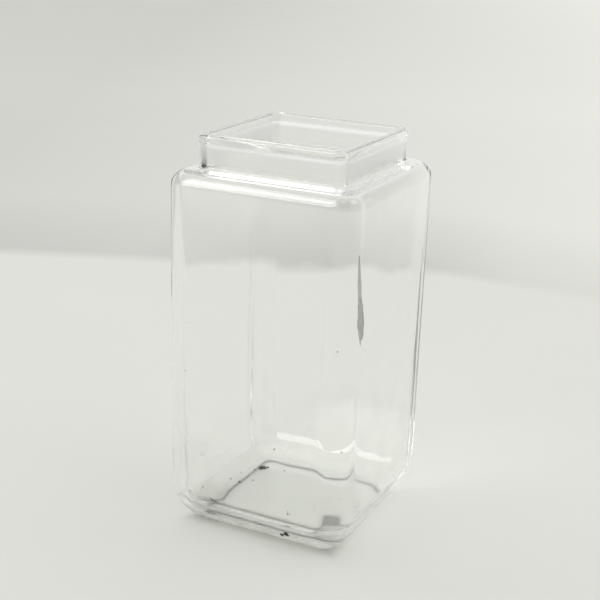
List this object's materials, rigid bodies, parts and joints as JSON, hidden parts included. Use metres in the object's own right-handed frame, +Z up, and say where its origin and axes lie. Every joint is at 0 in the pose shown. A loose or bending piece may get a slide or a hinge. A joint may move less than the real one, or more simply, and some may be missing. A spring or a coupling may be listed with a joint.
{
  "type": "specimen jar",
  "caption": "Tall square glass jar with rounded corners, a drawn-in heel, a round shoulder and a short square neck with an open mouth, standing on a ring foot.",
  "frame": {"origin": "centre of the foot, on the surface that the jar stands on", "axes": "+Z up along the jar's axis, out of the mouth; +X and +Y square to the flat sides, which are alike"},
  "size_m": [0.13, 0.13, 0.2604],
  "materials": {
    "clear_glass": "smooth, fire-polished, clear",
    "dried_residue": "matt dark flecks of dried residue that lie on the glass"
  },
  "bodies": {
    "root": {"glass_jar": "clear_glass"}
  },
  "joints": []
}
